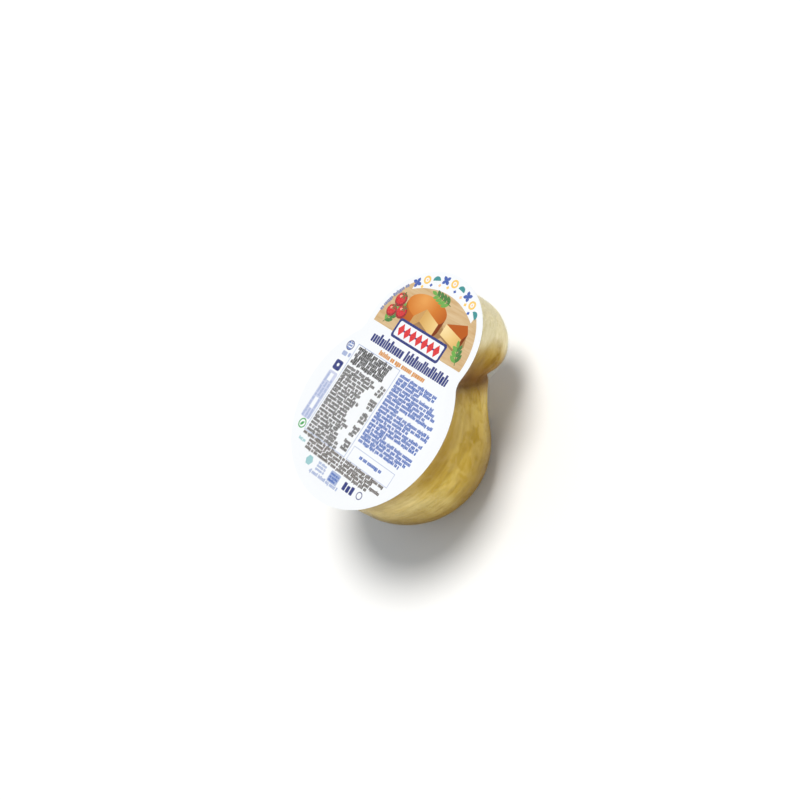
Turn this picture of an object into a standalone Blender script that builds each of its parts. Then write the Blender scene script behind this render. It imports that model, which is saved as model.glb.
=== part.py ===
"""Smoked provola in its sealed pack.

A pear-shaped smoked cheese fills a clear formed tray, and a flat printed lid is sealed to
the tray's flange. The pack lies on its rounded back with the lid up.

X runs across the pack, Y from the belly to the head, Z up. The origin is on the surface
below, under the middle of the lid.
"""
import math

import bmesh
import bpy

MM = 0.001

# The lid: a round belly and a round head, joined by a concave fillet at the neck.
LID_BELLY_RADIUS = 37.0 * MM
LID_HEAD_RADIUS = 27.8 * MM
LID_HEAD_REACH = 31.9 * MM      # from the belly's centre to the head's centre
LID_NECK_FILLET = 7.0 * MM
LID_THICKNESS = 0.3 * MM

# The tray: its flange carries the lid, and its cavity has the shape of the cheese.
FLANGE_WIDTH = 3.0 * MM
TRAY_WALL = 0.45 * MM
TRAY_DEPTH = 50.5 * MM          # from the flange's underside to the flat spot below
BELLY_RADIUS = 32.0 * MM
BELLY_SETBACK = 1.6 * MM        # the round belly sits this far behind the lid's belly
BELLY_AXIS_DEPTH = 24.4 * MM
HEAD_RADIUS = 19.0 * MM
HEAD_REACH = 39.9 * MM
HEAD_AXIS_DEPTH = 18.4 * MM
NECK_FILLET = 28.0 * MM
NECK_START = 17.5 * MM          # from here to the neck's end the axis climbs to the head
NECK_END = 34.0 * MM
SPOT_BLEND = 1.2 * MM           # how softly the round back turns into the flat spot

# The cheese: it fills the tray up to the lid.
FIT_GAP = 0.3 * MM              # between neighbouring pieces
CHEESE_EDGE = 1.2 * MM          # rounding of the cheese's upper edge

# How finely the round shapes are divided.
BELLY_STEPS = 24
NECK_STEPS = 6
HEAD_STEPS = 14
WALL_STEPS = 4
ROUND_STEPS = 12

MIDDLE_Y = (LID_HEAD_REACH + LID_HEAD_RADIUS - LID_BELLY_RADIUS) / 2


def clear_scene():
    """Remove whatever the file holds, so that only the pack is left."""
    for item in list(bpy.data.objects):
        bpy.data.objects.remove(item, do_unlink=True)


def arc(centre_x, centre_y, radius, start, end, steps):
    """Points along an arc, both ends included."""
    points = []
    for step in range(steps + 1):
        angle = start + (end - start) * step / steps
        points.append((centre_x + radius * math.cos(angle), centre_y + radius * math.sin(angle)))
    return points


def gourd_side(belly_radius, belly_y, head_radius, head_y, fillet):
    """One side of a gourd's outline, from the belly's end to the head's end."""
    span = head_y - belly_y
    to_belly = belly_radius + fillet
    to_head = head_radius + fillet
    fillet_y = (to_belly ** 2 - to_head ** 2 + span ** 2) / (2 * span)
    fillet_x = math.sqrt(to_belly ** 2 - fillet_y ** 2)
    belly_end = math.atan2(fillet_y, fillet_x)
    head_start = math.atan2(fillet_y - span, fillet_x)
    belly = arc(0, belly_y, belly_radius, -math.pi / 2, belly_end, BELLY_STEPS)
    neck = arc(fillet_x, belly_y + fillet_y, fillet,
               belly_end + math.pi, head_start + math.pi, NECK_STEPS)
    head = arc(0, head_y, head_radius, head_start, math.pi / 2, HEAD_STEPS)
    side = belly + neck[1:-1] + head
    side[0] = (0.0, side[0][1])
    side[-1] = (0.0, side[-1][1])
    return side


def lid_side(inset=0.0):
    """One side of the lid's outline, drawn in by an inset."""
    return gourd_side(LID_BELLY_RADIUS - inset, 0.0, LID_HEAD_RADIUS - inset, LID_HEAD_REACH,
                      LID_NECK_FILLET + inset)


def round_side(inset=0.0):
    """One side of the round body's outline at its widest, drawn in by an inset."""
    return gourd_side(BELLY_RADIUS - inset, -BELLY_SETBACK, HEAD_RADIUS - inset, HEAD_REACH,
                      NECK_FILLET + inset)


def axis_depth(y):
    """How far below the flange the round body's axis runs: deep in the belly, less in the head."""
    share = min(max((y - NECK_START) / (NECK_END - NECK_START), 0.0), 1.0)
    ease = share * share * (3 - 2 * share)
    return BELLY_AXIS_DEPTH + (HEAD_AXIS_DEPTH - BELLY_AXIS_DEPTH) * ease


def settle(depth, floor_depth):
    """Flatten the round back softly where it would go deeper than the flat spot."""
    over = depth - floor_depth + SPOT_BLEND
    if over <= 0:
        return depth
    if over >= 2 * SPOT_BLEND:
        return floor_depth
    return depth - over ** 2 / (4 * SPOT_BLEND)


def half_section(rim, equator, top_depth, inset):
    """Points down one side of a cross-section, from the rim to the middle of the back.

    The wall leans in from the rim to the round body's widest line, and the round body
    closes below it.
    """
    rim_x, rim_y = rim
    round_x, round_y = equator
    axis = axis_depth(round_y)
    section = []
    for step in range(WALL_STEPS):
        depth = top_depth + (axis - top_depth) * step / WALL_STEPS
        lean = 1 - (1 - depth / axis) ** 2
        section.append((rim_x + (round_x - rim_x) * lean, rim_y + (round_y - rim_y) * lean, depth))
    for step in range(ROUND_STEPS + 1):
        angle = math.pi / 2 * step / ROUND_STEPS
        across = round_x * math.cos(angle) if step < ROUND_STEPS else 0.0
        depth = settle(axis + round_x * math.sin(angle), TRAY_DEPTH - inset)
        section.append((across, round_y, depth))
    return section


def body_sections(inset=0.0, top_depth=0.0):
    """Cross-sections of the body, from the belly's end to the head's end.

    An inset draws all of them in, and each one starts at the top depth.
    """
    rims = lid_side(FLANGE_WIDTH + inset)
    equators = round_side(inset)
    return [half_section(rim, equator, top_depth, inset) for rim, equator in zip(rims, equators)]


def add_ring(mesh, section):
    """Add a whole cross-section to the mesh: down the right side and up the left."""
    right = [mesh.verts.new((x, y - MIDDLE_Y, TRAY_DEPTH - depth)) for x, y, depth in section]
    left = [mesh.verts.new((-x, y - MIDDLE_Y, TRAY_DEPTH - depth)) for x, y, depth in section[:-1]]
    return right + left[::-1]


def bridge(mesh, first, second):
    """Join two rings of the same length with faces."""
    for index in range(len(first) - 1):
        mesh.faces.new((first[index], first[index + 1], second[index + 1], second[index]))


def finish_object(name, mesh, material, collection):
    """Weld a bmesh and put it in the scene."""
    bmesh.ops.remove_doubles(mesh, verts=mesh.verts, dist=0.005 * MM)
    bmesh.ops.dissolve_degenerate(mesh, edges=mesh.edges, dist=0.005 * MM)
    data = bpy.data.meshes.new(name)
    mesh.to_mesh(data)
    mesh.free()
    data.materials.append(material)
    data.shade_smooth()
    data.set_sharp_from_angle(angle=math.radians(40))
    item = bpy.data.objects.new(name, data)
    collection.objects.link(item)
    return item


def make_material(name, colour, roughness, alpha=1.0):
    """A Principled material with the piece's plain colour."""
    material = bpy.data.materials.new(name)
    material.use_nodes = True
    shader = material.node_tree.nodes["Principled BSDF"]
    shader.inputs["Base Color"].default_value = (*colour, 1.0)
    shader.inputs["Roughness"].default_value = roughness
    shader.inputs["Metallic"].default_value = 0.0
    shader.inputs["Alpha"].default_value = alpha
    return material


def make_tray(collection):
    """The clear tray: a formed skin with its flange, thickened inwards."""
    mesh = bmesh.new()
    rings = []
    for (edge_x, edge_y), section in zip(lid_side(), body_sections()):
        rings.append(add_ring(mesh, [(edge_x, edge_y, 0.0)] + section))
    for first, second in zip(rings, rings[1:]):
        bridge(mesh, first, second)
    material = make_material("clear_tray", (0.86, 0.84, 0.78), 0.08, alpha=0.35)
    tray = finish_object("tray", mesh, material, collection)
    skin = tray.modifiers.new("Wall", "SOLIDIFY")
    skin.thickness = TRAY_WALL
    skin.offset = -1.0  # against the faces' normals, which point out of the tray
    skin.use_even_offset = True
    return tray


def make_cheese(collection):
    """The smoked cheese: the tray's cavity, drawn in by the wall and the gap."""
    mesh = bmesh.new()
    inset = TRAY_WALL + FIT_GAP
    top = lid_side(FLANGE_WIDTH + inset + CHEESE_EDGE)
    sections = body_sections(inset, top_depth=CHEESE_EDGE - TRAY_WALL)
    rings = []
    for (edge_x, edge_y), section in zip(top, sections):
        rings.append(add_ring(mesh, [(edge_x, edge_y, -TRAY_WALL)] + section))
    for first, second in zip(rings, rings[1:]):
        bridge(mesh, first, second)
        mesh.faces.new((first[-1], first[0], second[0], second[-1]))
    material = make_material("smoked_cheese", (0.46, 0.31, 0.085), 0.45)
    return finish_object("cheese", mesh, material, collection)


def make_lid(collection):
    """The flat lid, sealed along the flange."""
    mesh = bmesh.new()
    side = lid_side()
    height = TRAY_DEPTH + TRAY_WALL + FIT_GAP
    outline = side + [(-x, y) for x, y in side[-2:0:-1]]
    mesh.faces.new([mesh.verts.new((x, y - MIDDLE_Y, height)) for x, y in outline])
    material = make_material("printed_film", (0.86, 0.87, 0.88), 0.3)
    lid = finish_object("lid", mesh, material, collection)
    film = lid.modifiers.new("Thickness", "SOLIDIFY")
    film.thickness = LID_THICKNESS
    film.offset = 1.0
    return lid


def main():
    clear_scene()
    collection = bpy.data.collections.new("smoked_provola_pack")
    bpy.context.scene.collection.children.link(collection)
    make_cheese(collection)
    make_tray(collection)
    make_lid(collection)


main()
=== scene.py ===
"""Looks of the smoked provola pack: the cheese, its clear formed tray and the printed lid.

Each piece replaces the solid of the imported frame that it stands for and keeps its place.
X runs across the pack, Y from the belly to the head, Z up, all in metres.
"""

import math
import random

import bmesh
import bpy
from mathutils import Matrix, Vector, noise
from mathutils.geometry import delaunay_2d_cdt


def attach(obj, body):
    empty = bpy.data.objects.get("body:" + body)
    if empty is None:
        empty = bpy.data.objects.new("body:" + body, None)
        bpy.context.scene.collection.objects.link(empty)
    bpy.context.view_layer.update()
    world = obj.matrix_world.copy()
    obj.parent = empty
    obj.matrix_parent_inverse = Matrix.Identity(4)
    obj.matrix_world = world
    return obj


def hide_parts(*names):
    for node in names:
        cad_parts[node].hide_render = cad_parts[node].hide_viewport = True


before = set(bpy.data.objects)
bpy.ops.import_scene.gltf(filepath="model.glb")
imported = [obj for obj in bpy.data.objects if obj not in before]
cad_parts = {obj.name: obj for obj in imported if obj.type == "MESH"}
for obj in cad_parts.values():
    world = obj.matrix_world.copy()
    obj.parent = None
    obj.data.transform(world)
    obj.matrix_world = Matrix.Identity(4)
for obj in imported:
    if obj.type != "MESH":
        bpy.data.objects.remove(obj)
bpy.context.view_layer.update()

MM = 0.001

# -------------------- sizes

# The lid's outline and the tray's body, as the frame's solids have them.
LID_BELLY_RADIUS = 37.0 * MM
LID_HEAD_RADIUS = 27.8 * MM
LID_HEAD_REACH = 31.9 * MM
LID_NECK_FILLET = 7.0 * MM
FLANGE_WIDTH = 3.0 * MM
TRAY_WALL = 0.45 * MM
TRAY_DEPTH = 50.5 * MM
BELLY_RADIUS = 32.0 * MM
BELLY_SETBACK = 1.6 * MM
BELLY_AXIS_DEPTH = 24.4 * MM
HEAD_RADIUS = 19.0 * MM
HEAD_REACH = 39.9 * MM
HEAD_AXIS_DEPTH = 18.4 * MM
NECK_FILLET = 28.0 * MM
NECK_START = 17.5 * MM
NECK_END = 34.0 * MM
SPOT_BLEND = 1.2 * MM
MIDDLE_Y = (LID_HEAD_REACH + LID_HEAD_RADIUS - LID_BELLY_RADIUS) / 2
LID_LENGTH = LID_BELLY_RADIUS + LID_HEAD_REACH + LID_HEAD_RADIUS
LID_MIDDLE_SHARE = LID_BELLY_RADIUS / LID_LENGTH

# What only the fine pieces have.
FLANGE_CORNER = 1.1 * MM        # rounding between the tray's flange and its wall
CHEESE_REACH = 0.12 * MM        # how far the cheese's skin reaches into the tray's wall
CHEESE_EDGE = 1.2 * MM
HEADROOM = 0.12 * MM            # between the cheese's top and the film
WELD = 0.002 * MM
NECK_Y = 18.6 * MM              # where the tied neck's crease crosses the neck's height
NECK_HEIGHT = 33.0 * MM
NECK_LEAN = 0.4                 # how far the crease leans toward the belly as it rises
PINCH_DEPTH = 1.4 * MM
PINCH_TO_BELLY = 3.0 * MM       # how far the pinch reaches from the crease to either side
PINCH_TO_HEAD = 6.5 * MM
STRAND_REACH = 14.0 * MM        # how wide the body is taken to be across the curd's strands

# How finely the round shapes are divided.
BELLY_STEPS = 104
NECK_STEPS = 26
HEAD_STEPS = 62
WALL_STEPS = 22
ROUND_STEPS = 54


def arc(centre_x, centre_y, radius, start, end, steps):
    """Points along an arc, both ends included."""
    points = []
    for step in range(steps + 1):
        angle = start + (end - start) * step / steps
        points.append((centre_x + radius * math.cos(angle), centre_y + radius * math.sin(angle)))
    return points


def gourd_side(belly_radius, belly_y, head_radius, head_y, fillet):
    """One side of a gourd's outline, from the belly's end to the head's end."""
    span = head_y - belly_y
    to_belly = belly_radius + fillet
    to_head = head_radius + fillet
    fillet_y = (to_belly ** 2 - to_head ** 2 + span ** 2) / (2 * span)
    fillet_x = math.sqrt(to_belly ** 2 - fillet_y ** 2)
    belly_end = math.atan2(fillet_y, fillet_x)
    head_start = math.atan2(fillet_y - span, fillet_x)
    belly = arc(0, belly_y, belly_radius, -math.pi / 2, belly_end, BELLY_STEPS)
    neck = arc(fillet_x, belly_y + fillet_y, fillet,
               belly_end + math.pi, head_start + math.pi, NECK_STEPS)
    head = arc(0, head_y, head_radius, head_start, math.pi / 2, HEAD_STEPS)
    side = belly + neck[1:-1] + head
    side[0] = (0.0, side[0][1])
    side[-1] = (0.0, side[-1][1])
    return side


def lid_side(inset=0.0):
    """One side of the lid's outline, drawn in by an inset."""
    return gourd_side(LID_BELLY_RADIUS - inset, 0.0, LID_HEAD_RADIUS - inset, LID_HEAD_REACH,
                      LID_NECK_FILLET + inset)


def round_side(inset=0.0):
    """One side of the round body's outline at its widest, drawn in by an inset."""
    return gourd_side(BELLY_RADIUS - inset, -BELLY_SETBACK, HEAD_RADIUS - inset, HEAD_REACH,
                      NECK_FILLET + inset)


def smooth(value, low, high):
    """0 below low, 1 above high and an even S between them."""
    share = min(max((value - low) / (high - low), 0.0), 1.0)
    return share * share * (3 - 2 * share)


def bell(value, middle, width):
    """1 at the middle, falling off to nothing about two widths away."""
    return math.exp(-((value - middle) / width) ** 2)


def axis_depth(y):
    """How far below the flange the body's axis runs: deep in the belly, less in the head."""
    climb = smooth(y, NECK_START, NECK_END)
    return BELLY_AXIS_DEPTH + (HEAD_AXIS_DEPTH - BELLY_AXIS_DEPTH) * climb


def settle(depth, floor_depth):
    """Flatten the round back softly where it would go deeper than the flat spot."""
    over = depth - floor_depth + SPOT_BLEND
    if over <= 0:
        return depth
    if over >= 2 * SPOT_BLEND:
        return floor_depth
    return depth - over ** 2 / (4 * SPOT_BLEND)


def strand_place(angle, y, radius):
    """Where a point lies in the drawn curd, in mm: Y runs along its strands.

    Across them the belly and the head are nearly as wide as each other, and the ends close
    below the body's widest line. Above that line the angle is less than 0.
    """
    reach = STRAND_REACH * math.tanh(radius / STRAND_REACH)
    fall = reach if angle > 0 else STRAND_REACH
    return Vector((reach * math.cos(angle), y - MIDDLE_Y, fall * math.sin(angle))) / MM


def half_section(rim, flange, equator, top_depth, inset):
    """Down one side of a cross-section: (x, y, depth, place in the strands).

    The wall starts with a rounded corner under the flange and leans in to the body's
    widest line, and the round back closes below that line.
    """
    round_x, round_y = equator
    axis = axis_depth(round_y)
    corner = FLANGE_CORNER + inset
    flange_width = math.dist(rim, flange)
    section = []
    for step in range(WALL_STEPS):
        depth = top_depth + (axis - top_depth) * (step / WALL_STEPS) ** 1.5
        lean = 1 - (1 - depth / axis) ** 2
        shy = min(max(1 - (depth + inset) / corner, 0.0), 1.0)
        flare = corner * (1 - math.sqrt(1 - shy * shy)) / flange_width
        x = rim[0] + (round_x - rim[0]) * lean + (flange[0] - rim[0]) * flare
        y = rim[1] + (round_y - rim[1]) * lean + (flange[1] - rim[1]) * flare
        strand = strand_place((depth - axis) / BELLY_RADIUS, round_y, round_x)
        section.append((x, y, depth, strand))
    for step in range(ROUND_STEPS + 1):
        angle = math.pi / 2 * step / ROUND_STEPS
        across = round_x * math.cos(angle) if step < ROUND_STEPS else 0.0
        depth = settle(axis + round_x * math.sin(angle), TRAY_DEPTH - inset)
        section.append((across, round_y, depth, strand_place(angle, round_y, round_x)))
    return section


def body_sections(inset=0.0, top_depth=0.0):
    """Cross-sections of the body, from the belly's end to the head's end."""
    rims = lid_side(FLANGE_WIDTH + inset)
    flanges = lid_side()
    equators = round_side(inset)
    return [half_section(rim, flange, equator, top_depth, inset)
            for rim, flange, equator in zip(rims, flanges, equators)]


def past_neck(place):
    """How far a place lies from the neck's crease, more than 0 toward the head."""
    return place.y - NECK_Y + NECK_LEAN * (place.z - NECK_HEIGHT)


def neck_pinch(place):
    """How far the tied neck draws the pack's body in, there and just beside it."""
    past = past_neck(place)
    reach = PINCH_TO_HEAD if past > 0 else PINCH_TO_BELLY
    return PINCH_DEPTH * bell(past, 0.0, reach) * smooth(TRAY_DEPTH - place.z, 2 * MM, 11 * MM)


def add_ring(mesh, section, strands):
    """Add a whole cross-section to the mesh: down the right side and up the left."""
    ring = []
    mirrored = [(-x, y, depth, Vector((-strand.x, strand.y, strand.z)))
                for x, y, depth, strand in section[-2::-1]]
    for x, y, depth, strand in section + mirrored:
        vert = mesh.verts.new((x, y - MIDDLE_Y, TRAY_DEPTH - depth))
        vert[strands] = strand
        ring.append(vert)
    return ring


def bridge(mesh, first, second):
    """Join two rings of the same length with faces."""
    for index in range(len(first) - 1):
        mesh.faces.new((first[index], first[index + 1], second[index + 1], second[index]))


def add_piece(name, mesh, materials, node, sharp=40):
    """Turn a bmesh into a piece that replaces a node of the frame."""
    data = bpy.data.meshes.new(name)
    mesh.to_mesh(data)
    mesh.free()
    for material in materials:
        data.materials.append(material)
    data.shade_smooth()
    data.set_sharp_from_angle(angle=math.radians(sharp))
    piece = bpy.data.objects.new(name, data)
    bpy.context.scene.collection.objects.link(piece)
    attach(piece, "root")
    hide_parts(node)
    return piece


# -------------------- materials

def srgb(red, green, blue):
    """A colour of screen values from 0 to 255, as the linear colour that shaders take."""
    linear = []
    for value in (red, green, blue):
        share = value / 255
        linear.append(share / 12.92 if share < 0.04045 else ((share + 0.055) / 1.055) ** 2.4)
    return (*linear, 1.0)


class Shader:
    """A material written as calls, each of which adds one node and returns an output."""

    def __init__(self, name):
        self.material = bpy.data.materials.new(name)
        self.material.use_nodes = True
        self.tree = self.material.node_tree
        self.tree.nodes.clear()

    def node(self, kind, inputs, **settings):
        """Add a node, set it up, and link or set its inputs."""
        node = self.tree.nodes.new("ShaderNode" + kind)
        for key, value in settings.items():
            setattr(node, key, value)
        for key, value in inputs.items():
            if isinstance(value, bpy.types.NodeSocket):
                self.tree.links.new(value, node.inputs[key])
            else:
                node.inputs[key].default_value = value
        return node

    def place(self):
        """The place on the piece, in metres, in the frame's axes."""
        return self.node("TexCoord", {}).outputs["Object"]

    def strands(self, across, along):
        """Places in the curd, for a pattern this many mm wide and long."""
        attribute = self.node("Attribute", {}, attribute_name="strand")
        scale = (1 / across, 1 / along, 1 / across)
        mapping = self.node("Mapping", {"Vector": attribute.outputs["Vector"], "Scale": scale})
        return mapping.outputs[0]

    def noise(self, vector, scale, detail=3.0, roughness=0.55, distortion=0.0):
        """A cloudy pattern from 0 to 1."""
        inputs = {"Vector": vector, "Scale": scale, "Detail": detail,
                  "Roughness": roughness, "Distortion": distortion}
        return self.node("TexNoise", inputs).outputs[0]

    def ramp(self, factor, *stops):
        """A colour ramp through (position, colour) stops."""
        node = self.node("ValToRGB", {"Fac": factor})
        elements = node.color_ramp.elements
        elements[0].position, elements[0].color = stops[0]
        elements[1].position, elements[1].color = stops[-1]
        for position, colour in stops[1:-1]:
            elements.new(position).color = colour
        return node.outputs["Color"]

    def screen_ramp(self, factor, stops):
        """A colour ramp through (position, screen colour) stops."""
        return self.ramp(factor, *[(position, srgb(*colour)) for position, colour in stops])

    def mix(self, factor, first, second, blend="MIX"):
        """Two colours mixed by a factor."""
        node = self.node("Mix", {}, data_type="RGBA", blend_type=blend)
        for index, value in ((0, factor), (6, first), (7, second)):
            if isinstance(value, bpy.types.NodeSocket):
                self.tree.links.new(value, node.inputs[index])
            else:
                node.inputs[index].default_value = value
        return node.outputs[2]

    def range(self, value, low, high, to_low=0.0, to_high=1.0, shape="SMOOTHSTEP"):
        """A value from one range mapped to another, softly unless the shape says otherwise."""
        inputs = {"Value": value, "From Min": low, "From Max": high,
                  "To Min": to_low, "To Max": to_high}
        return self.node("MapRange", inputs, interpolation_type=shape).outputs[0]

    def maths(self, operation, *values):
        """A sum of one, two or three numbers."""
        inputs = dict(enumerate(values))
        return self.node("Math", inputs, operation=operation).outputs[0]

    def axis(self, vector, name):
        """One of a vector's three numbers."""
        return self.node("SeparateXYZ", {"Vector": vector}).outputs[name]

    def attribute(self, name):
        """A number kept with the mesh."""
        return self.node("Attribute", {}, attribute_name=name).outputs["Fac"]

    def bump(self, height, distance, strength=1.0, normal=None):
        """A normal that a height pattern tilts."""
        inputs = {"Height": height, "Distance": distance, "Strength": strength}
        if normal is not None:
            inputs["Normal"] = normal
        return self.node("Bump", inputs).outputs[0]

    def principled(self, **inputs):
        """End the material in a Principled surface."""
        named = {key.replace("_", " "): value for key, value in inputs.items()}
        shader = self.node("BsdfPrincipled", named)
        self.finish(shader.outputs[0])
        return self.material

    def finish(self, surface):
        """End the material in a surface."""
        self.node("OutputMaterial", {"Surface": surface})
        return self.material


# -------------------- the cheese

NECK_FOLD_SPREAD = 7.0 * MM
NECK_GROOVE_TO_BELLY = 1.3 * MM
NECK_GROOVE_TO_HEAD = 4.2 * MM
NECK_GROOVE_DEPTH = 1.5 * MM
NECK_FOLD_DEPTH = 1.1 * MM
STRAND_DEPTH = 0.32 * MM
TIP_FOLD_DEPTH = 0.5 * MM
NECK_SWAY = 2.4 * MM            # how unevenly the crease runs round the neck
TIP_FOLDS = (38 * MM, 47 * MM)  # where along Y the folds of the tip begin and are full
DENTS = (
    # turn from the right side down (degrees), y, width, length and depth (mm)
    (20, -8, 2.4, 12, 0.55),
    (55, -22, 3.0, 9, 0.45),
    (-14, 4, 1.8, 9, 0.5),
    (110, -2, 2.8, 14, 0.5),
    (155, -18, 2.6, 10, 0.5),
    (190, 6, 2.2, 8, 0.45),
    (30, 33, 2.6, 5, 0.5),
    (140, 35, 3.0, 6, 0.45),
)

# The rind's tones, as shares of its pattern and screen colours from 0 to 255.
RIND_TONES = (
    (0.34, (150, 119, 38)),
    (0.45, (184, 152, 58)),
    (0.55, (204, 174, 82)),
    (0.66, (224, 201, 124)),
)
# Paler skin toward both ends: partly its own tone, partly a painted reflection and highlight.
PALE_AND_SHEEN_TONES = (
    (0.3, (236, 227, 196)),
    (0.7, (216, 203, 156)),
)
DARK_STRAND = (132, 98, 24)
DARK_MOTTLE = (146, 110, 34)
PALE_TOUCH = (238, 214, 142)
# Painted shade under the lid's overhang, toward the top of the cheese.
LID_SHADE = (142, 111, 48)
# Painted shade in the folds, the neck's groove and the dents.
FOLD_SHADE = (94, 57, 10)
LOW_SHADE = (0.35, 0.275, 0.10, 1.0)    # painted shade: what is left of each colour toward the underside
NECK_SMOKE_AND_SHADE = (0.35, 0.19, 0.01, 1.0)    # and around the neck: partly smoke, partly painted shade

# Where the tones change: each pair is where a change begins and where it is full.
SMOKE_BAND = 40 * MM            # from one darker band of smoke across the belly to the next
SMOKE_SHIFT = 7 * MM            # how far the bands lie toward the head
PALE_HEAD_AND_SHEEN = (35 * MM, 44.5 * MM)
PALE_BELLY_END_AND_SHEEN = (-22 * MM, -50 * MM)
LID_SHADE_STRETCH = (33 * MM, 44 * MM)
LOW_SHADE_STRETCH = (32 * MM, 11 * MM)
FOLD_SHADE_STRETCH = (0.3, 1.6)       # mm below the tray's wall, for the painted shade in the folds
NECK_STRETCH = (-8.5 * MM, 23.5 * MM)   # past the crease
NECK_SMOKE_AND_SHADE_SHARES = (
    # share of the neck's stretch, and how much smoke and painted shade lies there
    (0.09, 0.0),
    (0.19, 0.3),
    (0.27, 0.62),
    (0.37, 0.95),
    (0.5, 0.8),
    (0.62, 0.52),
    (0.75, 0.2),
    (0.86, 0.0),
)


def curd(strand, across, along, seed):
    """Noise that is drawn out along the cheese's strands, this many mm wide and long."""
    place = (strand.x / across, strand.y / along + seed, strand.z / across)
    return noise.noise(Vector(place))


def ridge(value, sharpness):
    """1 where a noise crosses zero, falling off to either side."""
    return (1 - min(abs(value) * sharpness, 1.0)) ** 2


def skin_hollow(strand, place):
    """How far the cheese's skin lies in from where it meets the wall."""
    hollow = STRAND_DEPTH * max(curd(strand, 4.5, 60, 3.1) + 0.1, 0.0)
    hollow += 0.4 * STRAND_DEPTH * max(curd(strand, 1.7, 34, 8.7), 0.0)
    neck = past_neck(place) - NECK_SWAY * curd(strand, 9, 400, 5.0)
    hollow += NECK_FOLD_DEPTH * bell(neck, 0.0, NECK_FOLD_SPREAD) * ridge(
        curd(strand, 2.6, 60, 1.7), 3.0)
    groove = NECK_GROOVE_TO_HEAD if neck > 0 else NECK_GROOVE_TO_BELLY
    hollow += NECK_GROOVE_DEPTH * bell(neck, 0.0, groove)
    tip = smooth(place.y, *TIP_FOLDS)
    hollow += TIP_FOLD_DEPTH * tip * ridge(curd(strand, 3.4, 90, 6.3), 3.0)
    for turn, dent_y, width, length, depth in DENTS:
        middle = strand_place(math.radians(turn), dent_y * MM + MIDDLE_Y, BELLY_RADIUS)
        away = math.hypot((strand.x - middle.x) / width, (strand.z - middle.z) / width,
                          (strand.y - middle.y) / length)
        hollow += depth * MM * math.exp(-away * away)
    return hollow


def rind_tone(shader, cloud, y):
    """How light the rind is: wide strands, clouds and bands of smoke across the belly."""
    wide = shader.noise(shader.strands(5.5, 60), 1.0, detail=2.0)
    streak = shader.noise(shader.strands(1.5, 36), 1.0, detail=3.0, distortion=0.3)
    tone = shader.maths("MULTIPLY", wide, 0.4)
    tone = shader.maths("MULTIPLY_ADD", streak, 0.16, tone)
    tone = shader.maths("MULTIPLY_ADD", cloud, 0.44, tone)
    sway = shader.maths("SUBTRACT", shader.maths("MULTIPLY_ADD", cloud, 6 * MM, y), SMOKE_SHIFT)
    sway = shader.maths("SINE", shader.maths("MULTIPLY", sway, 2 * math.pi / SMOKE_BAND))
    return shader.maths("MULTIPLY_ADD", sway, 0.04, tone)


def with_grain(shader, skin, place, fine, mottle):
    """The skin with fine dark strands, dark mottles and small pale touches."""
    touch = shader.noise(place, 150.0, detail=5.0, roughness=0.68, distortion=0.4)
    skin = shader.mix(shader.range(fine, 0.46, 0.7, 0.0, 0.36), skin, srgb(*DARK_STRAND))
    skin = shader.mix(shader.range(mottle, 0.5, 0.7, 0.0, 0.26), skin, srgb(*DARK_MOTTLE))
    return shader.mix(shader.range(touch, 0.48, 0.56, 0.0, 0.17), skin, srgb(*PALE_TOUCH))


def with_pale_ends_and_sheen(shader, skin, tone, fine, y, z):
    """The skin paler toward the head's tip and a little toward the belly's end, partly its own tone
    and partly a painted reflection and highlight.
    """
    pale = shader.screen_ramp(fine, PALE_AND_SHEEN_TONES)
    wander = shader.range(tone, 0.35, 0.65)
    drift = shader.maths("MULTIPLY_ADD", z, 0.12, y)
    drift = shader.maths("MULTIPLY_ADD", wander, 6 * MM, drift)
    # Paler toward the head's tip: partly the skin's own tone, partly a painted reflection on the
    # plastic.
    skin = shader.mix(shader.range(drift, *PALE_HEAD_AND_SHEEN, 0.0, 0.88), skin, pale)
    # Paler toward the belly's end: partly the skin's own tone, partly a painted highlight.
    drift = shader.maths("MULTIPLY_ADD", wander, -10 * MM, y)
    return shader.mix(shader.range(drift, *PALE_BELLY_END_AND_SHEEN, 0.0, 0.26), skin, pale)


def with_shade_and_smoke(shader, skin, cloud, y, z):
    """Painted shade: the skin darker below, mostly at the belly's end; around the tied neck it is
    browner, partly from smoke and partly as painted shade.
    """
    # Painted shade: darker toward the underside, most at the belly's end.
    low = shader.maths("MULTIPLY_ADD", cloud, 10 * MM, z)
    low = shader.maths("MULTIPLY_ADD", y, 0.3, low)
    low = shader.range(low, *LOW_SHADE_STRETCH, 0.0, 0.88)
    skin = shader.mix(low, skin, LOW_SHADE, "MULTIPLY")
    # Browner around the neck: partly smoke, partly painted shade in the crease and under the head's
    # bulge.
    crease = NECK_Y + NECK_LEAN * NECK_HEIGHT
    past = shader.maths("SUBTRACT", shader.maths("MULTIPLY_ADD", z, NECK_LEAN, y), crease)
    past = shader.maths("MULTIPLY_ADD", cloud, 5 * MM, past)
    neck = shader.range(past, *NECK_STRETCH, shape="LINEAR")
    shares = [(place, (share, share, share, 1.0)) for place, share in NECK_SMOKE_AND_SHADE_SHARES]
    return shader.mix(shader.ramp(neck, *shares), skin, NECK_SMOKE_AND_SHADE, "MULTIPLY")


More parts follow.
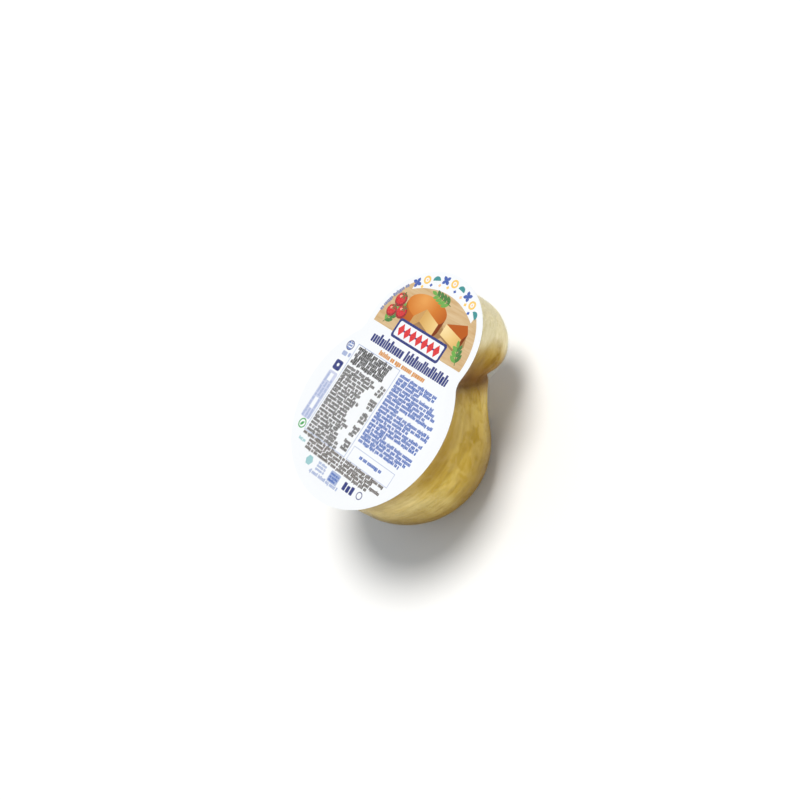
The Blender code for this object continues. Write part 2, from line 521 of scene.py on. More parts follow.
def smoked_skin():
    """Smoked rind: golden, paler toward both ends, partly as a painted sheen, and brown around the
    tied neck, partly as painted shade; painted shade also darkens it under the lid, below and in its
    folds.
    """
    shader = Shader("smoked_skin")
    place = shader.place()
    y = shader.axis(place, "Y")
    z = shader.axis(place, "Z")
    fine = shader.noise(shader.strands(0.5, 11), 1.0, detail=4.0, roughness=0.7)
    cloud = shader.noise(place, 60.0, detail=3.0)
    mottle = shader.noise(place, 320.0, detail=4.0, roughness=0.6)
    tone = rind_tone(shader, cloud, y)
    skin = with_grain(shader, shader.screen_ramp(tone, RIND_TONES), place, fine, mottle)
    # Painted shade under the lid's overhang: darker toward the top of the cheese.
    skin = shader.mix(shader.range(z, *LID_SHADE_STRETCH, 0.0, 0.5), skin, srgb(*LID_SHADE))
    skin = with_pale_ends_and_sheen(shader, skin, tone, fine, y, z)
    skin = with_shade_and_smoke(shader, skin, cloud, y, z)
    # Painted shade: darker where the skin lies deep below the tray's wall, in folds, the neck's
    # groove and dents.
    fold = shader.range(shader.attribute("fold"), *FOLD_SHADE_STRETCH, 0.0, 0.65)
    skin = shader.mix(fold, skin, srgb(*FOLD_SHADE))
    height = shader.maths("MULTIPLY_ADD", fine, 0.5, shader.maths("MULTIPLY", mottle, 0.5))
    return shader.principled(
        Base_Color=skin,
        Roughness=shader.range(cloud, 0.3, 0.7, 0.36, 0.52),
        IOR=1.45,
        Specular_IOR_Level=0.03,
        Subsurface_Weight=0.06,
        Subsurface_Radius=(1.0, 0.65, 0.25),
        Subsurface_Scale=1.6 * MM,
        Normal=shader.bump(height, 0.3 * MM, 0.6))


def make_cheese():
    """The smoked cheese: it fills the tray, with strands, a gathered neck and dents."""
    mesh = bmesh.new()
    strands = mesh.verts.layers.float_vector.new("strand")
    fold = mesh.verts.layers.float.new("fold")
    inset = TRAY_WALL - CHEESE_REACH
    top_depth = HEADROOM - TRAY_WALL
    top = lid_side(FLANGE_WIDTH + inset + CHEESE_EDGE)
    rings = []
    for (edge_x, edge_y), section in zip(top, body_sections(inset, top_depth + CHEESE_EDGE)):
        rim = [(edge_x, edge_y, top_depth, section[0][3])]
        rings.append(add_ring(mesh, rim + section, strands))
    for first, second in zip(rings, rings[1:]):
        bridge(mesh, first, second)
        mesh.faces.new((first[-1], first[0], second[0], second[-1]))
    bmesh.ops.remove_doubles(mesh, verts=mesh.verts, dist=WELD)
    bmesh.ops.dissolve_degenerate(mesh, edges=mesh.edges, dist=WELD)
    mesh.normal_update()
    lid_height = TRAY_DEPTH - top_depth
    for vert in mesh.verts:
        below_lid = smooth(lid_height - vert.co.z, 0.5 * MM, 3.0 * MM)
        hollow = skin_hollow(vert[strands], vert.co) * below_lid
        vert[fold] = hollow / MM
        vert.co -= vert.normal * (hollow + neck_pinch(vert.co))
    return add_piece("provola", mesh, [smoked_skin()], "cheese", sharp=60)


# -------------------- the tray

GLOSS_FACE_ON = 0.006           # share of the light that the plastic mirrors
GLOSS_EDGE_ON = 0.2
GLOSS_POWER = 5.0               # how near the edge the gloss grows


def clear_plastic():
    """Clear formed plastic: what is behind it shows, and its face mirrors the lights."""
    shader = Shader("clear_formed_plastic")
    place = shader.place()
    swell = shader.noise(place, 45.0, detail=2.0)
    grain = shader.noise(place, 420.0, detail=2.0)
    height = shader.maths("MULTIPLY_ADD", swell, 1.0, shader.maths("MULTIPLY", grain, 0.05))
    normal = shader.bump(height, 0.8 * MM, 0.35)
    facing = shader.node("LayerWeight", {"Blend": 0.5, "Normal": normal}).outputs["Facing"]
    edge_on = shader.maths("POWER", facing, GLOSS_POWER)
    share = shader.maths("MULTIPLY_ADD", edge_on, GLOSS_EDGE_ON, GLOSS_FACE_ON)
    clear = shader.node("BsdfTransparent", {"Color": (0.97, 0.97, 0.96, 1.0)})
    gloss = shader.node("BsdfAnisotropic", {"Color": (1.0, 1.0, 1.0, 1.0), "Roughness": 0.09,
                                            "Normal": normal})
    surface = shader.node("MixShader", {0: share, 1: clear.outputs[0], 2: gloss.outputs[0]})
    return shader.finish(surface.outputs[0])


def make_tray():
    """The clear tray: a formed skin with its flange, thickened inwards."""
    mesh = bmesh.new()
    strands = mesh.verts.layers.float_vector.new("strand")
    rings = []
    for (edge_x, edge_y), section in zip(lid_side(), body_sections()):
        rings.append(add_ring(mesh, [(edge_x, edge_y, 0.0, section[0][3])] + section, strands))
    for first, second in zip(rings, rings[1:]):
        bridge(mesh, first, second)
    bmesh.ops.remove_doubles(mesh, verts=mesh.verts, dist=WELD)
    bmesh.ops.dissolve_degenerate(mesh, edges=mesh.edges, dist=WELD)
    mesh.normal_update()
    for vert in mesh.verts:
        vert.co -= vert.normal * neck_pinch(vert.co)
    tray = add_piece("formed_tray", mesh, [clear_plastic()], "tray")
    wall = tray.modifiers.new("Wall", "SOLIDIFY")
    wall.thickness = TRAY_WALL
    wall.offset = -1.0
    wall.use_even_offset = True
    return tray


# -------------------- the printed lid

FILM_THICKNESS = 0.16 * MM
FILM_SEAT = 0.01 * MM           # between the flange's top and the film
FILM_CROWN = 0.24 * MM          # how far the film domes over the cheese
FILM_WAVE = 0.05 * MM
SEAL_GROOVE = 0.05 * MM
FILM_RINGS = (0.5, 1.2, 2.0, 2.8, 3.4, 4.0, 4.7, 5.6, 7.0)      # mm in from the outline
FILM_POINTS = 1.3               # mm between the points that carry the film's waves
FILM_ROWS = 0.87                # from row to row of those points, as a share of that
FILM_ROW_START = 0.31           # mm, keeps the rows off the straight edges of the print

HEAD_V = LID_HEAD_REACH / MM    # the print is laid out in mm from the lid belly's centre
HEAD_RIM = LID_HEAD_RADIUS / MM
BELLY_RIM = LID_BELLY_RADIUS / MM
SMALL = 1.08                    # mm, the height of the small print
GREY_LEFT = -24.5
GREY_RIGHT = 0.9
BLUE_LEFT = 2.2
COLUMN_FOOT = -18.7

# The film's map: the printed face, and beside it a smaller copy for the back and the rim.
BACK_MAP_U = 0.89
BACK_MAP_V = 0.25
BACK_MAP_SCALE = 0.25


def film(shader, place, colour):
    """The gloss of the lid's film over a printed colour."""
    swell = shader.noise(place, 110.0, detail=2.0)
    grain = shader.noise(place, 1500.0, detail=2.0)
    height = shader.maths("MULTIPLY_ADD", grain, 0.04, swell)
    return shader.principled(
        Base_Color=colour,
        Roughness=shader.range(swell, 0.3, 0.7, 0.42, 0.5),
        Specular_IOR_Level=0.3,
        Normal=shader.bump(height, 0.12 * MM, 0.25))


def printed(name, colour, fade=0.06):
    """Ink that is laid a little unevenly."""
    shader = Shader(name)
    place = shader.place()
    grain = shader.noise(place, 2200.0, detail=2.0)
    thin = tuple(channel + (1.0 - channel) * fade for channel in colour)
    return film(shader, place, shader.mix(shader.range(grain, 0.3, 0.7), colour, thin))


def shaded(name, u, v, radius, light, middle, dark):
    """Ink that is lighter around a spot and darker away from it, as a round thing is."""
    shader = Shader(name)
    place = shader.place()
    spot = (u * MM, v * MM - MIDDLE_Y, 0.0)
    flat = shader.node("VectorMath", {0: place, 1: (1.0, 1.0, 0.0)}, operation="MULTIPLY")
    away = shader.node("VectorMath", {0: flat.outputs[0], 1: spot}, operation="DISTANCE")
    share = shader.maths("DIVIDE", away.outputs["Value"], radius * MM)
    return film(shader, place, shader.ramp(share, (0.05, light), (0.5, middle), (1.0, dark)))


def wooden(name, light, dark):
    """Printed wood grain that runs across the pack."""
    shader = Shader(name)
    place = shader.place()
    stretched = shader.node("Mapping", {"Vector": place, "Scale": (0.12, 1.0, 1.0)}).outputs[0]
    grain = shader.noise(stretched, 900.0, detail=4.0, distortion=0.4)
    tone = shader.noise(place, 45.0)
    colour = shader.ramp(grain, (0.3, dark), (0.7, light))
    return film(shader, place, shader.mix(shader.range(tone, 0.3, 0.7, 0.0, 0.35), colour, light))


def box(left, low, right, top):
    """A rectangle's corners."""
    return [(left, low), (right, low), (right, top), (left, top)]


def ellipse(u, v, wide, high, steps=28):
    """An ellipse's outline, by its half sizes."""
    points = arc(0, 0, 1, 0, 2 * math.pi, steps)[:-1]
    return [(u + wide * a, v + high * b) for a, b in points]


def rounded(left, low, right, top, radius):
    """A rectangle with round corners."""
    quarter = math.pi / 2
    centres = ((right - radius, top - radius), (left + radius, top - radius),
               (left + radius, low + radius), (right - radius, low + radius))
    points = []
    for turn, (u, v) in enumerate(centres):
        points += arc(u, v, radius, turn * quarter, (turn + 1) * quarter, 4)
    return points


def turned(points, degrees, u, v):
    """Points turned about the origin and then moved."""
    cosine = math.cos(math.radians(degrees))
    sine = math.sin(math.radians(degrees))
    return [(u + a * cosine - b * sine, v + a * sine + b * cosine) for a, b in points]


def on_head(radius, degrees):
    """A place at a distance from the lid head's centre."""
    return turned([(radius, 0.0)], degrees, 0.0, HEAD_V)[0]


def lozenge(wide, high):
    """A lozenge about the origin, by its half sizes."""
    return [(-wide, 0.0), (0.0, -high), (wide, 0.0), (0.0, high)]


def leaf_shape(length, width, steps=7):
    """A pointed leaf along U from the origin."""
    under = [(length * step / steps, -width / 2 * math.sin(math.pi * step / steps) ** 0.8)
             for step in range(steps)]
    return under + [(length - a, -b) for a, b in under]


def word_bars(length, height, dice):
    """Small upright bars in groups, the way a line of small print is spaced."""
    bars = []
    at = 0.0
    while at < length - height:
        for _ in range(dice.randint(2, 8)):
            width = height * dice.uniform(0.4, 0.72)
            if at + width > length:
                break
            rise = 1.3 if dice.random() < 0.25 else 1.0
            drop = 0.25 if dice.random() < 0.12 else 0.0
            bars.append(box(at, -drop * height, at + width, rise * height))
            at += width + 0.09 * height
        at += 0.38 * height
    return bars


class Sheet:
    """The printed sheet: shapes painted over each other, each in one of the inks."""

    def __init__(self, dice):
        self.dice = dice
        self.inks = []
        self.shapes = []

    def ink(self, material):
        """Add an ink and return its number."""
        self.inks.append(material)
        return len(self.inks) - 1

    def paint(self, ink, points):
        """Paint a shape; its outline is kept counter-clockwise."""
        area = 0.0
        for (u, v), (next_u, next_v) in zip(points, points[1:] + points[:1]):
            area += u * next_v - next_u * v
        self.shapes.append((ink, points if area > 0 else points[::-1]))

    def line(self, ink, left, right, base, height=SMALL):
        """A line of small print."""
        for bar in word_bars(right - left, height, self.dice):
            self.paint(ink, [(left + u, base + v) for u, v in bar])

    def frame(self, ink, paper, left, low, right, top, stroke):
        """A thin rectangle."""
        self.paint(ink, box(left, low, right, top))
        self.paint(paper, box(left + stroke, low + stroke, right - stroke, top - stroke))

    def ring(self, ink, paper, u, v, radius, stroke):
        """A thin ring."""
        self.paint(ink, ellipse(u, v, radius, radius))
        self.paint(paper, ellipse(u, v, radius - stroke, radius - stroke))


def print_grey_column(sheet, paper, pale):
    """A bold paragraph and a list with its values, in a thin frame."""
    bold = sheet.ink(printed("ink_bold_grey", srgb(50, 47, 46)))
    grey = sheet.ink(printed("ink_grey", srgb(74, 70, 68), 0.1))
    sheet.frame(pale, paper, GREY_LEFT, COLUMN_FOOT, GREY_RIGHT, 19.2, 0.25)
    for row in range(5):
        indent = 0.8 * (row % 2)
        sheet.line(bold, GREY_LEFT + 1.3 + indent, -3.0 - indent, 17.2 - 1.4 * row, 1.3)
    reach = -5.0
    for row in range(20):
        base = 9.3 - 1.45 * row
        reach = min(max(reach + sheet.dice.uniform(-3.0, 2.8), -9.5), -4.5)
        sheet.line(grey, GREY_LEFT + 1.1, reach, base)
        if row % 4 != 3:
            sheet.line(grey, -2.6 - sheet.dice.uniform(0.0, 1.4), GREY_RIGHT - 0.7, base)


def print_blue_column(sheet, paper, blue, pale):
    """Paragraphs that follow the lid's round edge, and a small field below them."""
    line_ends = (1.0, 1.0, 0.62, 1.0, 1.0, 1.0, 0.8, 1.0, 0.36, 1.0, 1.0, 0.7, 1.0, 1.0, 1.0,
                 0.42, 1.0, 1.0, 1.0, 0.9)
    for row, line_end in enumerate(line_ends):
        base = 17.1 - 1.47 * row
        edge = math.sqrt(BELLY_RIM ** 2 - base ** 2) - 5.6
        neck_edge = 23.5 + 1.1 * row
        reach = min(edge, neck_edge, 30.6) - sheet.dice.uniform(0.0, 1.6)
        sheet.line(blue, BLUE_LEFT, BLUE_LEFT + (reach - BLUE_LEFT) * line_end, base)
    sheet.frame(pale, paper, BLUE_LEFT, COLUMN_FOOT, 26.2, -12.9, 0.2)
    sheet.line(blue, 7.4, 20.4, -15.9, 1.15)


def print_low_lines(sheet):
    """Lines right across the belly, below the columns."""
    brown = sheet.ink(printed("ink_brown_grey", srgb(78, 68, 60), 0.1))
    for row, (left, right) in enumerate(((-24, 25.4), (-19, 20), (-19, 25.4), (-19, 20))):
        sheet.line(brown, left, right, -20.0 - 1.42 * row)


def print_margin_marks(sheet, paper, blue, navy, pale):
    """Small marks beside and below the columns."""
    green = sheet.ink(printed("ink_green", srgb(70, 165, 85)))
    teal = sheet.ink(printed("ink_pale_teal", srgb(150, 196, 200)))
    wash = sheet.ink(printed("ink_wash_blue", srgb(198, 203, 226)))
    sheet.ring(navy, paper, -28.0, 17.0, 2.0, 0.4)
    for row in range(3):
        sheet.line(blue, -29.3, -26.7, 17.7 - 1.1 * row, 0.6)
    sheet.paint(pale, rounded(-29.6, 12.4, -26.9, 14.2, 0.4))
    sheet.paint(pale, rounded(-26.2, 12.8, -24.9, 14.4, 0.3))
    sheet.paint(navy, rounded(-29.9, 6.1, -25.7, 10.2, 0.8))
    sheet.paint(paper, ellipse(-27.8, 8.3, 0.7, 0.7, 14))
    sheet.paint(wash, rounded(-30.3, -15.2, -25.0, 5.3, 0.8))
    for column in range(3):
        for bar in word_bars(20.0 - 1.5 * column, 0.9, sheet.dice):
            sheet.paint(pale, turned(bar, 90, -28.9 + 1.7 * column, -14.9))
    for low, top in ((1.2, 4.4), (-11.0, -6.2)):
        sheet.paint(paper, box(-28.6, low, -26.7, top))
    sheet.ring(green, paper, -27.0, -17.4, 2.0, 0.5)
    sheet.paint(green, turned(leaf_shape(2.4, 1.3), 50, -27.8, -18.4))
    sheet.paint(teal, ellipse(-13.3, -27.0, 2.0, 2.0, 6))
    sheet.line(teal, -24.5, -19.8, -22.8, 0.9)
    for row in range(3):
        sheet.line(pale, -8.4, -3.0, -26.0 - 1.25 * row, 0.8)
    sheet.line(pale, -10.6, 7.0, -30.5)
    sheet.paint(pale, rounded(-0.6, -29.2, 5.0, -24.9, 0.5))
    for row in range(3):
        sheet.line(blue, -0.1, 4.8, -26.4 - 1.2 * row, 0.75)
    for step in range(3):
        left = 8.0 + 2.1 * step
        sheet.paint(navy, rounded(left, -28.6, left + 1.65, -25.4 - 0.6 * (step % 2), 0.35))
    sheet.ring(navy, paper, 17.2, -26.7, 1.5, 0.35)


def print_wheel(sheet, shade, top, side, face, face_dark):
    """A cheese wheel on the board, with a wide notch cut out of its front."""
    middle_u, middle_v = -4.6, 43.4
    wide, high, tall = 10.6, 5.0, 5.4

    def rim(degrees, drop=0.0):
        angle = math.radians(degrees)
        return (middle_u + wide * math.cos(angle), middle_v + high * math.sin(angle) - drop)

    right, left = rim(0), rim(180)
    sheet.paint(side, [left, rim(180, tall)] + [rim(turn, tall) for turn in range(192, 360, 12)]
                + [rim(0, tall), right])
    sheet.paint(top, ellipse(middle_u, middle_v, wide, high, 40))
    centre = (middle_u, middle_v)
    foot = (middle_u, middle_v - tall)
    first, last = -112, -34
    curve = [rim(turn, tall) for turn in range(first, last + 1, 6)]
    sheet.paint(shade, [centre, rim(first)] + curve + [rim(last)])
    sheet.paint(face_dark, [centre, rim(first), rim(first, tall), foot])
    sheet.paint(face, [centre, foot, rim(last, tall), rim(last)])


def print_wedge(sheet, shade, top, side, face):
    """The wedge from the wheel's notch, set beside it."""
    tip, front, bulge, back = (7.6, 42.4), (17.6, 40.2), (18.9, 43.0), (16.6, 45.8)
    tall = 4.6
    tip_foot, front_foot, bulge_foot = [(u, v - tall) for u, v in (tip, front, bulge)]
    sheet.paint(shade, [(tip[0] - 1.2, tip[1] - tall - 0.2), (front[0], front[1] - tall - 0.9),
                        (bulge[0] + 1.6, bulge[1] - tall - 0.2), (bulge[0], bulge[1] - 1.0)])
    sheet.paint(face, [tip, tip_foot, front_foot, front])
    sheet.paint(side, [front, front_foot, bulge_foot, bulge])
    sheet.paint(top, [tip, front, bulge, back])


def print_fruit(sheet, inks, u, v, size):
    """A round red fruit with its sepals."""
    dark, middle, light, stalk = inks
    sheet.paint(dark, ellipse(u, v, size, size, 26))
    sheet.paint(middle, ellipse(u - 0.12 * size, v + 0.12 * size, 0.82 * size, 0.8 * size, 24))
    sheet.paint(light, ellipse(u - 0.3 * size, v + 0.35 * size, 0.3 * size, 0.2 * size, 14))
    for turn in range(0, 360, 72):
        sheet.paint(stalk, turned(leaf_shape(0.62 * size, 0.2 * size, 4), turn + 18,
                                  u + 0.1 * size, v + 0.62 * size))


def print_sprig(sheet, stalk, leaves, root_u, root_v, lean, pairs):
    """A stalk with pairs of slender leaves."""
    step = 2.1
    sheet.paint(stalk, turned(box(0, -0.16, pairs * step + 0.5, 0.16), lean, root_u, root_v))
    for pair in range(pairs):
        start = turned([(1.0 + step * pair, 0)], lean, root_u, root_v)[0]
        for side, ink in ((38, leaves[0]), (-38, leaves[1])):
            sheet.paint(ink, turned(leaf_shape(4.0 - 0.35 * pair, 1.6), lean + side, *start))
    tip = turned([(pairs * step + 0.3, 0)], lean, root_u, root_v)[0]
    sheet.paint(leaves[0], turned(leaf_shape(3.2, 1.4), lean, *tip))


def print_picture(sheet):
    """A still life on a wooden board: a cut cheese wheel, its wedge, fruit and sprigs."""
    board = sheet.ink(wooden("print_board", srgb(216, 188, 146), srgb(196, 159, 110)))
    shade = sheet.ink(wooden("print_board_shade", srgb(178, 138, 90), srgb(152, 112, 68)))
    top = sheet.ink(shaded("print_rind_top", -8.0, 46.0, 15, srgb(228, 158, 82),
                           srgb(208, 122, 44), srgb(182, 90, 24)))
    side = sheet.ink(shaded("print_rind_side", -9.0, 41.0, 14, srgb(200, 112, 36),
                            srgb(172, 82, 20), srgb(126, 54, 12)))
    face = sheet.ink(shaded("print_cut", 8.0, 41.0, 12, srgb(244, 218, 160),
                            srgb(232, 196, 126), srgb(212, 166, 94)))
    face_dark = sheet.ink(printed("print_cut_shade", srgb(198, 150, 82)))
    fruit = [sheet.ink(printed("print_fruit_dark", srgb(150, 14, 20))),
             sheet.ink(printed("print_fruit", srgb(206, 28, 32))),
             sheet.ink(printed("print_fruit_light", srgb(246, 158, 138))),
             sheet.ink(printed("print_stalk", srgb(70, 108, 44)))]
    leaves = [sheet.ink(printed("print_leaf", srgb(104, 166, 66))),
              sheet.ink(printed("print_leaf_shade", srgb(64, 122, 50)))]
    side_arc = arc(0, HEAD_V, HEAD_RIM - 2.6, math.asin((29.9 - HEAD_V) / (HEAD_RIM - 2.6)),
                   math.radians(47), 14)
    crest = arc(0, HEAD_V - 12.0, 32.0, math.radians(58), math.radians(122), 16)
    sheet.paint(board, side_arc + crest + [(-u, v) for u, v in reversed(side_arc)])
    sheet.paint(shade, ellipse(-3.6, 38.0, 12.6, 4.7))
    print_wheel(sheet, shade, top, side, face, face_dark)
    print_wedge(sheet, shade, top, side, face)
    print_sprig(sheet, fruit[3], leaves, -20.6, 31.0, 62, 4)
    for u, v, size in ((-18.6, 41.6, 2.9), (-14.9, 37.6, 2.7), (-19.9, 36.4, 2.5)):
        print_fruit(sheet, fruit, u, v, size)
    print_sprig(sheet, fruit[3], leaves, 21.4, 31.0, 118, 3)
    print_sprig(sheet, fruit[3], leaves, 4.4, 48.6, 172, 4)


def print_border(sheet, paper):
    """A row of florets, rings and buds along the head's edge, and a bent line of print."""
    floret = sheet.ink(printed("ink_floret", srgb(62, 92, 172)))
    teal = sheet.ink(printed("ink_teal", srgb(52, 142, 144)))
    yellow = sheet.ink(printed("ink_yellow", srgb(244, 198, 96)))
    peach = sheet.ink(printed("ink_peach", srgb(244, 198, 150)))
    faded = sheet.ink(printed("ink_faded_blue", srgb(122, 132, 172)))
    for step in range(9):
        degrees = 132 - 10.5 * step
        u, v = on_head(HEAD_RIM - 3.2, degrees)
        if step % 3 == 0:
            for petal in range(4):
                sheet.paint(floret, turned(leaf_shape(2.2, 1.5, 5), degrees + 45 + 90 * petal, u, v))
        elif step % 3 == 1:
            sheet.ring(yellow, paper, u, v, 1.7, 0.8)
            sheet.paint(peach, ellipse(u, v, 0.4, 0.4, 12))
        else:
            sheet.paint(teal, turned(arc(0, -0.6, 1.8, 0, math.pi, 12), degrees - 90, u, v))
    for step in range(8):
        degrees = 126.75 - 10.5 * step
        u, v = on_head(HEAD_RIM - 5.6, degrees)
        sheet.paint((yellow, floret, peach)[step % 3], turned(lozenge(0.75, 0.75), degrees, u, v))
    for bar in word_bars(15.5, 1.2, sheet.dice):
        sheet.paint(faded, [on_head(HEAD_RIM - 3.4 + up, 174 - 2.35 * along) for along, up in bar])


def print_heading(sheet, paper, navy):
    """The plaque over the picture's lower edge, and the two heading lines."""
    red = sheet.ink(printed("ink_red", srgb(216, 36, 40)))
    orange = sheet.ink(printed("ink_orange", srgb(212, 142, 58)))
    sheet.paint(navy, rounded(-13.4, 28.0, 14.0, 36.0, 1.2))
    sheet.paint(paper, rounded(-12.4, 29.0, 13.0, 35.0, 0.7))
    for step in range(7):
        sheet.paint(red, turned(lozenge(1.65, 2.6), 0, -9.9 + 3.4 * step, 32.0))
        if step:
            sheet.paint(navy, ellipse(-11.6 + 3.4 * step, 32.0, 0.4, 0.4, 10))
    at = -20.8
    for letters in (7, 10):
        for _ in range(letters * 2):
            wide = sheet.dice.uniform(0.8, 1.3)
            top = 26.9 if sheet.dice.random() < 0.3 else 25.7
            sheet.paint(navy, rounded(at, 22.6, at + wide, top, 0.3))
            at += wide + 0.22
        at += 1.2
    sheet.line(orange, -13.0, 13.8, 19.8, 1.5)


def print_lid():
    """Everything that is printed on the lid, painted in order."""
    sheet = Sheet(random.Random(5))
    paper = sheet.ink(printed("film_white", srgb(238, 240, 243), 0.1))
    side = [(x / MM, y / MM) for x, y in lid_side()]
    sheet.paint(paper, side + [(-u, v) for u, v in side[-2:0:-1]])
    blue = sheet.ink(printed("ink_blue", srgb(52, 96, 178), 0.1))
    navy = sheet.ink(printed("ink_navy", srgb(30, 44, 118)))
    pale = sheet.ink(printed("ink_pale_blue", srgb(158, 172, 208), 0.1))
    print_grey_column(sheet, paper, pale)
    print_blue_column(sheet, paper, blue, pale)
    print_low_lines(sheet)
    print_margin_marks(sheet, paper, blue, navy, pale)
    print_picture(sheet)
    print_border(sheet, paper)
    print_heading(sheet, paper, navy)
    return sheet


def film_height(x, y):
    """Height of the film's upper face: sealed at the rim, domed slightly over the cheese."""
    belly = LID_BELLY_RADIUS - math.hypot(x, y)
    head = LID_HEAD_RADIUS - math.hypot(x, y - LID_HEAD_REACH)
    inset = max(belly, head)
    base = TRAY_DEPTH + TRAY_WALL + FILM_SEAT + FILM_THICKNESS
    inside = smooth(inset, 2.6 * MM, 14.0 * MM)
    wave = noise.noise(Vector((x, y, 0.0)) / (13 * MM))
    wave += 0.4 * noise.noise(Vector((x, y, 1.0)) / (5 * MM))
    groove = bell(inset, FLANGE_WIDTH + 0.9 * MM, 0.8 * MM)
    return base + FILM_CROWN * inside + FILM_WAVE * wave * inside - SEAL_GROOVE * groove


def film_points(spacing):
    """Points inside the lid's outline, in mm: rings along it and rows across it."""
    points = []
    for inset in FILM_RINGS:
        side = [(x / MM, y / MM) for x, y in lid_side(inset * MM)][::2]
        points += side + [(-u, v) for u, v in side[1:-1]]
    rows = int(2 * BELLY_RIM / spacing)
    for row in range(2 * rows):
        for column in range(rows):
            u = (column + 0.5 * (row % 2) - rows / 2) * spacing
            v = row * spacing * FILM_ROWS - BELLY_RIM + FILM_ROW_START
            if math.hypot(u, v) < BELLY_RIM - 1 or math.hypot(u, v - HEAD_V) < HEAD_RIM - 1:
                points.append((u, v))
    return points


def add_face_of_film(mesh, shapes, spacing, drop, upward):
    """Add the film's upper or lower face and return its outline's vertices."""
    points = []
    faces = []
    for _, shape in shapes:
        faces.append(list(range(len(points), len(points) + len(shape))))
        points += shape
    points += film_points(spacing)
    divided = delaunay_2d_cdt([Vector(point) for point in points], [], faces, 1, 1e-5, True)
    places, _, triangles, sources, _, owners = divided
    verts = {}
    for triangle, owner in zip(triangles, owners):
        if not owner:
            continue
        for index in triangle:
            if index not in verts:
                x, y = places[index] * MM
                verts[index] = mesh.verts.new((x, y - MIDDLE_Y, film_height(x, y) - drop))
        corners = [verts[index] for index in triangle]
        face = mesh.faces.new(corners if upward else corners[::-1])
        face.material_index = shapes[max(owner)][0]
    outline = {}
    for index, vert in verts.items():
        for source in sources[index]:
            if source < len(faces[0]):
                outline[source] = vert
    return [outline[source] for source in range(len(faces[0]))]


def make_lid():
    """The lid's film, its upper face divided along the edges of the printed shapes."""
    sheet = print_lid()
    back = sheet.ink(printed("film_back", srgb(238, 238, 238), 0.02))
    mesh = bmesh.new()
    outline = sheet.shapes[0][1]
    above = add_face_of_film(mesh, sheet.shapes, FILM_POINTS, 0.0, True)
    printed_faces = len(mesh.faces)
    below = add_face_of_film(mesh, [(back, outline)], 3 * FILM_POINTS, FILM_THICKNESS, False)
    for index in range(len(outline)):
        rim = mesh.faces.new((above[index - 1], below[index - 1], below[index], above[index]))
        rim.material_index = back
    bake = mesh.loops.layers.uv.new("OFBake")
    for number, face in enumerate(mesh.faces):
        for loop in face.loops:
            x, y, z = loop.vert.co / LID_LENGTH
            if number < printed_faces:
                loop[bake].uv = (x + LID_MIDDLE_SHARE, y + 0.5)
            else:
                loop[bake].uv = (BACK_MAP_U + BACK_MAP_SCALE * x,
                                 BACK_MAP_V + BACK_MAP_SCALE * y + z)
    return add_piece("lid_film", mesh, sheet.inks, "lid")


# -------------------- studio

FLOOR_SIZE = 6.0
ROOM_COLOUR = (0.89, 0.95, 1.0, 1.0)
ROOM_STRENGTH = 0.38
KEY_PLACE = (0.03, 0.32, 0.94)
KEY_COLOUR = (1.0, 0.975, 0.94)
KEY_STRENGTH = 2.5
KEY_ANGLE = math.radians(24)
CARD_AWAY = 0.9
CARD_Y = -0.08
CARD_Z = 0.11
CARD_TARGET = (0.0, 0.0, 0.03)
CARD_LENGTH = 0.7
CARD_HEIGHT = 0.16
CARDS = (
    # name, side and power in watts
    ("card_right", 1, 3.0),
    ("card_left", -1, 1.8),
)
CAMERA_DISTANCE = 616.7 * MM
CAMERA_LENS = 75.9              # mm, on a 36 mm sensor
CAMERA_LEAN = math.radians(42.484)      # away from straight above, toward +X
CAMERA_TIP = math.radians(0.727)
CAMERA_ROLL = math.radians(33.037)
AIM_RIGHT = 10.87 * MM          # from the lid belly's centre to the picture's middle
AIM_UP = 4.94 * MM


def make_floor():
    """A plain pale floor."""
    shader = Shader("pale_floor")
    place = shader.place()
    tone = shader.noise(place, 3.0, detail=2.0)
    colour = shader.mix(tone, srgb(244, 244, 244), srgb(248, 248, 248))
    grain = shader.noise(place, 700.0, detail=2.0)
    material = shader.principled(Base_Color=colour, Roughness=0.75, Specular_IOR_Level=0.2,
                                 Normal=shader.bump(grain, 0.05 * MM, 0.2))
    mesh = bmesh.new()
    bmesh.ops.create_grid(mesh, x_segments=4, y_segments=4, size=FLOOR_SIZE / 2)
    data = bpy.data.meshes.new("floor")
    mesh.to_mesh(data)
    mesh.free()
    data.materials.append(material)
    floor = bpy.data.objects.new("floor", data)
    bpy.context.scene.collection.objects.link(floor)


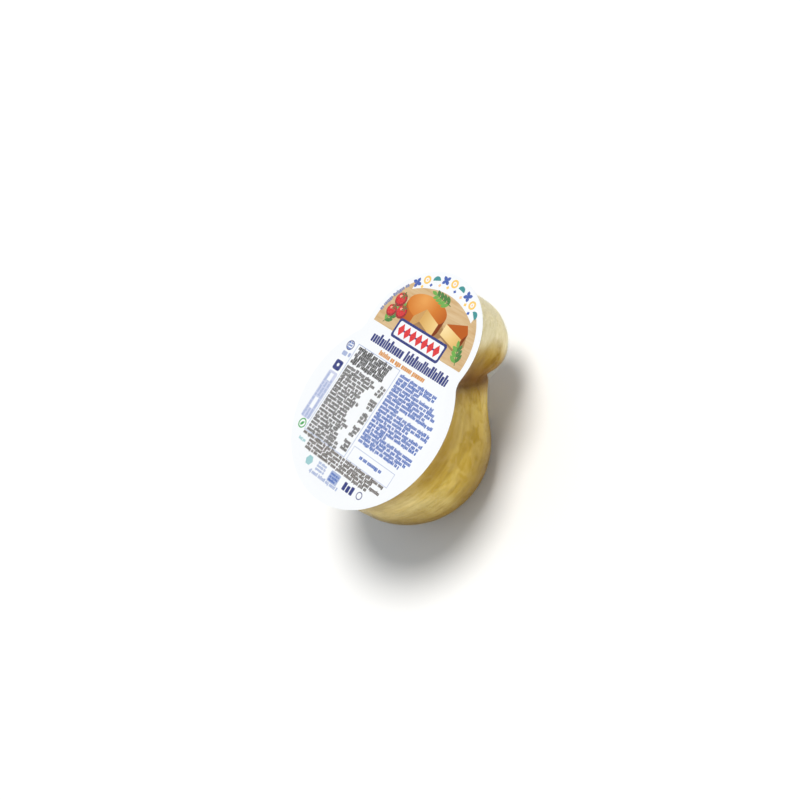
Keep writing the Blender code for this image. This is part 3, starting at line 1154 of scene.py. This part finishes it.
def make_light(name, kind, place, target, energy, **settings):
    """A light that looks from its place at a target."""
    data = bpy.data.lights.new(name, kind)
    data.energy = energy
    for key, value in settings.items():
        setattr(data, key, value)
    light = bpy.data.objects.new(name, data)
    light.location = place
    light.visible_camera = False
    light.rotation_euler = (Vector(target) - Vector(place)).to_track_quat("-Z", "Y").to_euler()
    bpy.context.scene.collection.objects.link(light)


def make_studio():
    """A pale room, a soft key light from above the head and a low card on either side."""
    world = bpy.data.worlds.new("white_room")
    world.use_nodes = True
    background = world.node_tree.nodes["Background"]
    background.inputs["Color"].default_value = ROOM_COLOUR
    background.inputs["Strength"].default_value = ROOM_STRENGTH
    bpy.context.scene.world = world
    make_light("key", "SUN", KEY_PLACE, (0, 0, 0), KEY_STRENGTH, color=KEY_COLOUR, angle=KEY_ANGLE)
    for name, side, power in CARDS:
        make_light(name, "AREA", (CARD_AWAY * side, CARD_Y, CARD_Z), CARD_TARGET, power,
                   shape="RECTANGLE", size=CARD_LENGTH, size_y=CARD_HEIGHT)
    bpy.context.scene.view_settings.view_transform = "Standard"


def make_camera():
    """The camera at the photograph's angle: above the +X side, rolled to the left."""
    lean_sin, lean_cos = math.sin(CAMERA_LEAN), math.cos(CAMERA_LEAN)
    tip_sin, tip_cos = math.sin(CAMERA_TIP), math.cos(CAMERA_TIP)
    level = Vector((lean_cos, 0.0, -lean_sin))
    upright = Vector((-lean_sin * tip_sin, tip_cos, -lean_cos * tip_sin))
    back = level.cross(upright)
    roll_sin, roll_cos = math.sin(CAMERA_ROLL), math.cos(CAMERA_ROLL)
    right = roll_cos * level + roll_sin * upright
    up = roll_cos * upright - roll_sin * level
    data = bpy.data.cameras.new("camera")
    data.lens = CAMERA_LENS
    data.clip_start = 0.01
    camera = bpy.data.objects.new("camera", data)
    lid_centre = Vector((0.0, -MIDDLE_Y, TRAY_DEPTH + 2 * TRAY_WALL))
    place = lid_centre + AIM_RIGHT * right + AIM_UP * up + CAMERA_DISTANCE * back
    turn = Matrix((right, up, back)).transposed()
    camera.matrix_world = Matrix.Translation(place) @ turn.to_4x4()
    bpy.context.scene.collection.objects.link(camera)
    bpy.context.scene.camera = camera


make_camera()
make_studio()
make_floor()
make_cheese()
make_tray()
make_lid()
